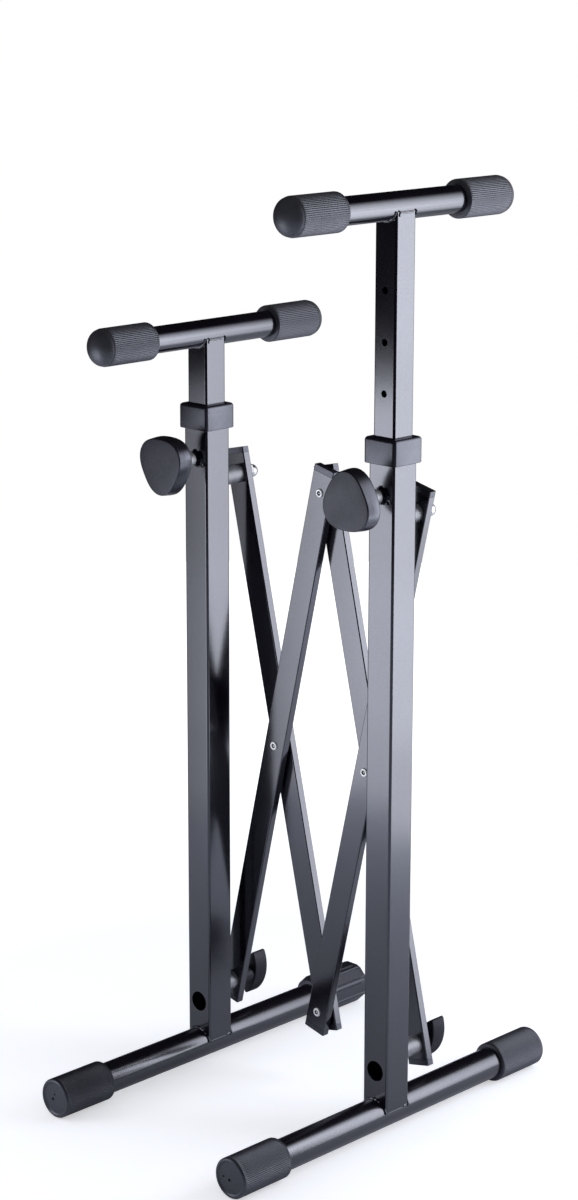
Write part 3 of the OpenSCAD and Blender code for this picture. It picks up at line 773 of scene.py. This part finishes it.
def floor():
    """Pale floor. To the camera it is lifted to white, and what the object shades stays darker."""
    material = bpy.data.materials.new("studio_floor")
    material.use_nodes = True
    tree = material.node_tree
    shader = tree.nodes["Principled BSDF"]
    shader.inputs["Base Color"].default_value = (*FLOOR_COLOUR, 1)
    shader.inputs["Roughness"].default_value = 0.9
    shader.inputs["Specular IOR Level"].default_value = 0.1
    shader.inputs["Emission Color"].default_value = (1, 1, 1, 1)
    add, link = tree.nodes.new, tree.links.new
    away = add("ShaderNodeVectorMath")
    away.operation = "LENGTH"
    link(add("ShaderNodeTexCoord").outputs["Object"], away.inputs[0])
    rise = add("ShaderNodeMapRange")
    rise.inputs["From Min"].default_value = FLOOR_NEAR
    rise.inputs["From Max"].default_value = FLOOR_FAR
    rise.inputs["To Min"].default_value = FLOOR_LIFT
    rise.inputs["To Max"].default_value = FLOOR_LIFT_FAR
    link(away.outputs["Value"], rise.inputs["Value"])
    lift = add("ShaderNodeMath")
    lift.operation = "MULTIPLY"
    link(rise.outputs["Result"], lift.inputs[0])
    link(add("ShaderNodeLightPath").outputs["Is Camera Ray"], lift.inputs[1])
    link(lift.outputs["Value"], shader.inputs["Emission Strength"])
    rim = [(FLOOR_R * math.cos(math.radians(a)), FLOOR_R * math.sin(math.radians(a)), -FLOOR_DROP)
           for a in range(0, 360, 5)]
    mesh = bpy.data.meshes.new("floor")
    mesh.from_pydata(rim, [], [tuple(range(len(rim)))])
    mesh.materials.append(material)
    piece = bpy.data.objects.new("floor", mesh)
    bpy.context.scene.collection.objects.link(piece)


def panel(name, centre, columns, radiances, step):
    """Upright soft light that faces the object, in strips from the floor up.

    Each column is (its start and end across the panel, its share of the radiance)."""
    aim = Vector((-centre[0], -centre[1], 0)).normalized()
    across = Vector((-aim.y, aim.x, 0))
    for column, (start, end, share) in enumerate(columns):
        for i, radiance in enumerate(radiances):
            light = bpy.data.lights.new(f"{name}_{column}_{i}", "AREA")
            light.shape = "RECTANGLE"
            light.size, light.size_y = end - start, step
            light.energy = radiance * share * (end - start) * step * math.pi
            light.color = LAMP_COLOUR
            lamp = bpy.data.objects.new(light.name, light)
            lamp.location = Vector((*centre, step * (i + 0.5))) + across * (start + end) / 2
            lamp.rotation_euler = aim.to_track_quat("-Z", "Y").to_euler()
            lamp.visible_camera = False
            bpy.context.scene.collection.objects.link(lamp)


def world():
    """White to the camera. Reflections see a pale backdrop behind the object and a dark room elsewhere."""
    scene_world = bpy.data.worlds.new("studio")
    scene_world.use_nodes = True
    bpy.context.scene.world = scene_world
    tree = scene_world.node_tree
    tree.nodes.clear()
    add, link = tree.nodes.new, tree.links.new
    path = add("ShaderNodeLightPath")
    place = add("ShaderNodeTexCoord")
    toward = add("ShaderNodeVectorMath")
    toward.operation = "DOT_PRODUCT"
    toward.inputs[1].default_value = BACKDROP_WAY
    link(place.outputs["Generated"], toward.inputs[0])
    backdrop = add("ShaderNodeMapRange")
    backdrop.inputs["From Min"].default_value = BACKDROP_START
    backdrop.inputs["From Max"].default_value = BACKDROP_FULL
    backdrop.inputs["To Min"].default_value = ROOM_LIGHT
    backdrop.inputs["To Max"].default_value = BACKDROP_LIGHT
    link(toward.outputs["Value"], backdrop.inputs["Value"])
    seen = add("ShaderNodeMath")
    seen.operation = "MAXIMUM"
    link(path.outputs["Is Glossy Ray"], seen.inputs[0])
    link(path.outputs["Is Transmission Ray"], seen.inputs[1])
    soft = add("ShaderNodeMix")
    soft.data_type = "FLOAT"
    soft.inputs["A"].default_value = SOFT_LIGHT
    link(seen.outputs["Value"], soft.inputs["Factor"])
    link(backdrop.outputs["Result"], soft.inputs["B"])
    white = add("ShaderNodeMix")
    white.data_type = "FLOAT"
    white.inputs["B"].default_value = 1.0
    link(path.outputs["Is Camera Ray"], white.inputs["Factor"])
    link(soft.outputs["Result"], white.inputs["A"])
    background = add("ShaderNodeBackground")
    link(white.outputs["Result"], background.inputs["Strength"])
    link(background.outputs["Background"], add("ShaderNodeOutputWorld").inputs["Surface"])
    background.inputs["Color"].default_value = (1, 1, 1, 1)


def camera():
    """The photograph's camera."""
    data = bpy.data.cameras.new("camera")
    data.sensor_width = SENSOR
    data.lens = FOCAL_PIXELS * SENSOR / PHOTO_HEIGHT
    data.clip_end = 50
    eye = bpy.data.objects.new("camera", data)
    ahead = Vector((math.sin(CAMERA_YAW) * math.cos(CAMERA_PITCH),
                    math.cos(CAMERA_YAW) * math.cos(CAMERA_PITCH), -math.sin(CAMERA_PITCH)))
    level = ahead.cross(Vector((0, 0, 1))).normalized()
    up = level.cross(ahead)
    right = math.cos(CAMERA_ROLL) * level + math.sin(CAMERA_ROLL) * up
    upright = math.cos(CAMERA_ROLL) * up - math.sin(CAMERA_ROLL) * level
    axes = Matrix((right, upright, -ahead)).transposed().to_4x4()
    eye.matrix_world = Matrix.Translation(CAMERA_PLACE) @ axes
    bpy.context.scene.collection.objects.link(eye)
    bpy.context.scene.camera = eye


# The scene

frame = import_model()

camera()
floor()
world()
bpy.context.scene.view_settings.view_transform = "Standard"
panel("key", KEY_PLACE, KEY_COLUMNS, KEY_ROWS, KEY_STEP)
panel("fill", FILL_PLACE, FILL_COLUMNS, FILL_ROWS, FILL_STEP)

coat = powder_coat("powder_coat", 0.13, 0.17)
tube_coat = powder_coat("powder_coat_tube", 0.20, 0.24)
black_rubber = rubber("rubber", (0.010, 0.010, 0.014), (0.017, 0.017, 0.022), 1.85)
# A lighter copy of the black rubber for the bar caps: painted light
painted_light_rubber = rubber("rubber_painted_light", (0.030, 0.030, 0.037), (0.044, 0.044, 0.053), 1.85)
black_plastic = plastic("plastic", 1.9, 0.28, 0.35)
face_plastic = plastic("plastic_face", 1.55, 0.36, 0.44)
grip_plastic = plastic("plastic_grip", 1.45, 0.42, 0.52)
# Near-black dull plastic for the painted shade at the plug joints
gap_shade_plastic = plastic("plastic_gap_shade", 1.15, 0.6, 0.7)
bright_zinc = zinc()
satin = satin_zinc("satin_zinc", (0.20, 0.21, 0.235), (0.30, 0.31, 0.34), 0.4)
ferrule_plate = satin_zinc("ferrule_plate", (0.34, 0.355, 0.385), (0.46, 0.475, 0.505), 0.35)
rivet_plate = satin_zinc("rivet_plate", (0.86, 0.87, 0.90), (0.95, 0.96, 0.97), 0.6)

by_slot = {"powder_coat": coat, "rubber": black_rubber, "plastic": black_plastic, "zinc": bright_zinc}
for part in frame["record"]["subparts"]:
    name = part["node"]
    node = frame["nodes"][name]
    node.data.materials.clear()
    material = by_slot[part["material_slot"]]
    if name.startswith(("spacer", "arm_stub")):
        material = satin
    elif name.startswith("foot_tube"):
        material = tube_coat
    node.data.materials.append(material)
    node.data.shade_smooth()
    node.data.set_sharp_from_angle(angle=math.radians(30))
    if name.startswith("end_plugs"):
        soften(node, 1.1 * MM)
    elif name.startswith(("arm_left", "arm_right")):
        soften(node, 0.6 * MM)

# Moulding dimples on the near caps' faces: place across, place up, radius and depth
left_spots = [(-3.7 * MM, -1.5 * MM, 1.45 * MM, 2.6 * MM), (-1.2 * MM, 3.8 * MM, 0.95 * MM, 2.0 * MM)]
right_spots = [(-1.6 * MM, -2.0 * MM, 1.45 * MM, 2.6 * MM), (-8.9 * MM, -0.7 * MM, 0.95 * MM, 2.0 * MM)]
foot_cap("foot_cap_left_front", "root", black_rubber, left_spots)
foot_cap("foot_cap_right_front", "right_support", black_rubber, right_spots)
foot_cap("foot_cap_right_rear", "right_support", black_rubber)
level_cap("level_cap", "levelling_foot", black_rubber)

# What both supports have. The knobs and the grips stand at the angles that the photograph shows
for side, knob_turn, grip_tilt in (("left", 30, 13), ("right", 90, 20)):
    body = SUPPORT_BODY[side]
    for end in ("front", "rear"):
        # The bar caps take the lighter copy of the rubber, as painted light
        bar_cap(f"bar_cap_{side}_{end}", side + "_rest", painted_light_rubber)
    collar("collar_" + side, body, black_plastic)
    clamp_knob("clamp_knob_" + side, side + "_knob", math.radians(knob_turn),
               black_plastic, face_plastic, ferrule_plate)
    clamp_screw("clamp_screw_" + side, side + "_screw", bright_zinc)
    thumb_grip("thumb_grip_" + side, side + "_grip", math.radians(grip_tilt), grip_plastic)
    foot_welds(side, body, coat)
    bar_welds(side, coat)
    nut_welds(side, body, coat)
    stub_welds(side, body, coat)

# The lattice's pivots: at the posts, at the crossings and at the middle
left_x, right_x = middle("post_left").x, middle("post_right").x
pivot_z, slide_z = middle("arm_stub_left").z, middle("slide_bolt_left").z
crossing_z = (pivot_z + slide_z) / 2
# The black coat given to the rivets paints shade on their dimples' walls
rivets("rivets_left", [(left_x / 2, crossing_z), (0, pivot_z)], "left_front_arm", rivet_plate, coat)
rivets("rivets_right", [(right_x / 2, crossing_z), (0, slide_z)], "right_front_arm", rivet_plate, coat)
# Painted shade: a dark line round each arm where its end plugs start
for side, layer, bottom_x, top_x in (("left", "front", left_x, 0), ("left", "back", 0, left_x),
                                     ("right", "front", 0, right_x), ("right", "back", right_x, 0)):
    bottom, top = Vector((bottom_x, 0, slide_z)), Vector((top_x, 0, pivot_z))
    plug_gap_shade(f"arm_{side}_{layer}", f"{side}_{layer}_arm", bottom, top, gap_shade_plastic)
